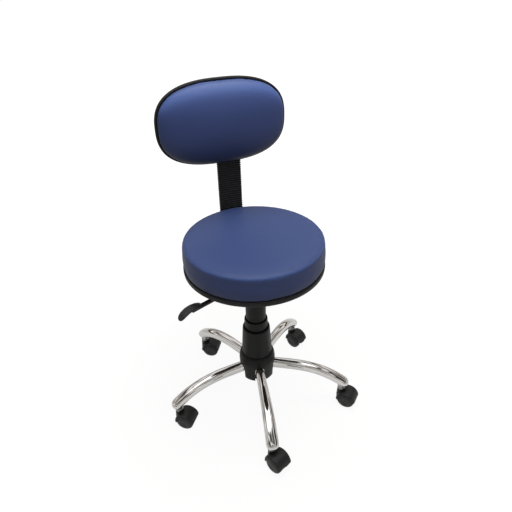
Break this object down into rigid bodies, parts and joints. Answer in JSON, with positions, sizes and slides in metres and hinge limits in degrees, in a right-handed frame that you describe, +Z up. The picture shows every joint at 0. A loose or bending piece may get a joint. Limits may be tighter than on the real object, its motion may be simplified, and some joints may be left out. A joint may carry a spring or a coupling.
{
  "type": "laboratory chair",
  "caption": "Round upholstered laboratory chair with an oval back pad on a blade, a gas lift in a telescopic cover and a five-arm chrome base on hooded twin casters",
  "frame": {"origin": "on the floor under the axis of the lift", "axes": "+Z up, the sitter faces -Y, +X is the sitter's left"},
  "size_m": [0.536, 0.5463, 0.9],
  "materials": {
    "blue_vinyl": "soft sheen, fine grain",
    "seat_foam": "open-cell foam",
    "seat_wood": "raw plywood",
    "black_plastic": "fine moulded texture",
    "black_rubber": "soft matt",
    "black_steel": "satin powder coat",
    "bright_chrome": "polished",
    "zinc_steel": "zinc plated",
    "bare_steel": "ground",
    "white_bush": "moulded acetal",
    "red_button": "moulded"
  },
  "bodies": {
    "base": {"hub_tube": "bare_steel", "base_arm_1": "bright_chrome", "base_arm_2": "bright_chrome", "base_arm_3": "bright_chrome", "base_arm_4": "bright_chrome", "base_arm_5": "bright_chrome", "caster_sockets": "zinc_steel", "hub_skirt": "black_plastic", "column_collar": "black_plastic", "stand_tube": "black_steel", "guide_bush": "white_bush", "cover_lower": "black_plastic"},
    "lift_rod": {"piston_rod": "bare_steel", "thrust_bearing": "bare_steel", "retaining_clip": "zinc_steel"},
    "middle_cover": {"cover_middle": "black_plastic"},
    "seat": {"gas_cylinder": "black_steel", "cover_upper": "black_plastic", "seat_plate": "black_steel", "plate_screws": "zinc_steel", "lever_pin": "zinc_steel", "blade_clamp": "black_steel", "seat_board": "seat_wood", "seat_foam": "seat_foam", "seat_cover": "blue_vinyl", "seat_trim": "black_plastic"},
    "valve": {"valve_button": "red_button"},
    "lever": {"lever_rod": "black_steel", "lever_handle": "black_plastic"},
    "knob": {"clamp_knob": "black_plastic"},
    "blade": {"back_blade": "black_steel", "back_bellows": "black_rubber"},
    "backrest": {"ratchet_carrier": "black_plastic", "ratchet_pawl": "bare_steel", "back_board": "black_plastic", "back_foam": "seat_foam", "back_cover": "blue_vinyl", "back_trim": "black_plastic", "back_shell": "black_plastic", "back_screws": "zinc_steel"},
    "caster_1": {"caster_housing_1": "black_plastic", "caster_pins_1": "zinc_steel"},
    "left_wheel_1": {"wheel_left_1": "black_plastic"},
    "right_wheel_1": {"wheel_right_1": "black_plastic"},
    "caster_2": {"caster_housing_2": "black_plastic", "caster_pins_2": "zinc_steel"},
    "left_wheel_2": {"wheel_left_2": "black_plastic"},
    "right_wheel_2": {"wheel_right_2": "black_plastic"},
    "caster_3": {"caster_housing_3": "black_plastic", "caster_pins_3": "zinc_steel"},
    "left_wheel_3": {"wheel_left_3": "black_plastic"},
    "right_wheel_3": {"wheel_right_3": "black_plastic"},
    "caster_4": {"caster_housing_4": "black_plastic", "caster_pins_4": "zinc_steel"},
    "left_wheel_4": {"wheel_left_4": "black_plastic"},
    "right_wheel_4": {"wheel_right_4": "black_plastic"},
    "caster_5": {"caster_housing_5": "black_plastic", "caster_pins_5": "zinc_steel"},
    "left_wheel_5": {"wheel_left_5": "black_plastic"},
    "right_wheel_5": {"wheel_right_5": "black_plastic"}
  },
  "joints": [
    {"name": "lift_swivel", "type": "hinge", "parent": "base", "child": "lift_rod", "pos_m": [0, 0, 0.2], "axis": [0, 0, 1], "continuous": true},
    {"name": "seat_lift", "type": "slide", "parent": "lift_rod", "child": "seat", "axis": [0, 0, 1], "range_m": [-0.1, 0.02]},
    {"name": "cover_slide", "type": "slide", "parent": "base", "child": "middle_cover", "axis": [0, 0, 1], "range_m": [-0.03, 0.01]},
    {"name": "lever_tilt", "type": "hinge", "parent": "seat", "child": "lever", "pos_m": [-0.02946, -0.0125, 0.4668], "axis": [-0.3907, 0.9205, 0], "range_deg": [0, 7], "stiffness_Nm_per_rad": 6, "springref_deg": -2.86},
    {"name": "valve_press", "type": "slide", "parent": "seat", "child": "valve", "axis": [0, 0, 1], "range_m": [-0.0045, 0]},
    {"name": "knob_turn", "type": "hinge", "parent": "seat", "child": "knob", "pos_m": [0, 0.077, 0.44], "axis": [0, 0, 1], "range_deg": [-360, 0]},
    {"name": "blade_depth", "type": "slide", "parent": "seat", "child": "blade", "axis": [0, 1, 0], "range_m": [0, 0.03]},
    {"name": "back_height", "type": "slide", "parent": "blade", "child": "backrest", "axis": [0, 0, 1], "range_m": [-0.03, 0.03], "deforming": ["back_bellows"]},
    {"name": "caster_swivel_1", "type": "hinge", "parent": "base", "child": "caster_1", "pos_m": [-0.04513, -0.24589, 0.07], "axis": [0, 0, 1], "continuous": true},
    {"name": "left_wheel_1_spin", "type": "hinge", "parent": "caster_1", "child": "left_wheel_1", "pos_m": [-0.037, -0.26416, 0.025], "axis": [0.9135, 0.4067, 0], "continuous": true},
    {"name": "right_wheel_1_spin", "type": "hinge", "parent": "caster_1", "child": "right_wheel_1", "pos_m": [-0.037, -0.26416, 0.025], "axis": [0.9135, 0.4067, 0], "continuous": true},
    {"name": "caster_swivel_2", "type": "hinge", "parent": "base", "child": "caster_2", "pos_m": [0.21991, -0.11891, 0.07], "axis": [0, 0, 1], "continuous": true},
    {"name": "left_wheel_2_spin", "type": "hinge", "parent": "caster_2", "child": "left_wheel_2", "pos_m": [0.23381, -0.13329, 0.025], "axis": [0.7193, 0.6947, 0], "continuous": true},
    {"name": "right_wheel_2_spin", "type": "hinge", "parent": "caster_2", "child": "right_wheel_2", "pos_m": [0.23381, -0.13329, 0.025], "axis": [0.7193, 0.6947, 0], "continuous": true},
    {"name": "caster_swivel_3", "type": "hinge", "parent": "base", "child": "caster_3", "pos_m": [0.18104, 0.17241, 0.07], "axis": [0, 0, 1], "continuous": true},
    {"name": "left_wheel_3_spin", "type": "hinge", "parent": "caster_3", "child": "left_wheel_3", "pos_m": [0.18981, 0.15443, 0.025], "axis": [0.8988, 0.4384, 0], "continuous": true},
    {"name": "right_wheel_3_spin", "type": "hinge", "parent": "caster_3", "child": "right_wheel_3", "pos_m": [0.18981, 0.15443, 0.025], "axis": [0.8988, 0.4384, 0], "continuous": true},
    {"name": "caster_swivel_4", "type": "hinge", "parent": "base", "child": "caster_4", "pos_m": [-0.10802, 0.22546, 0.07], "axis": [0, 0, 1], "continuous": true},
    {"name": "left_wheel_4_spin", "type": "hinge", "parent": "caster_4", "child": "left_wheel_4", "pos_m": [-0.0907, 0.21546, 0.025], "axis": [0.5, 0.866, 0], "continuous": true},
    {"name": "right_wheel_4_spin", "type": "hinge", "parent": "caster_4", "child": "right_wheel_4", "pos_m": [-0.0907, 0.21546, 0.025], "axis": [0.5, 0.866, 0], "continuous": true},
    {"name": "caster_swivel_5", "type": "hinge", "parent": "base", "child": "caster_5", "pos_m": [-0.2478, -0.03306, 0.07], "axis": [0, 0, 1], "continuous": true},
    {"name": "left_wheel_5_spin", "type": "hinge", "parent": "caster_5", "child": "left_wheel_5", "pos_m": [-0.23162, -0.04482, 0.025], "axis": [0.5878, 0.809, 0], "continuous": true},
    {"name": "right_wheel_5_spin", "type": "hinge", "parent": "caster_5", "child": "right_wheel_5", "pos_m": [-0.23162, -0.04482, 0.025], "axis": [0.5878, 0.809, 0], "continuous": true}
  ],
  "couplings": [
    {"joint": "cover_slide", "follows": "seat_lift", "ratio": 0.25},
    {"joint": "valve_press", "follows": "lever_tilt", "m_per_rad": -0.0325}
  ]
}
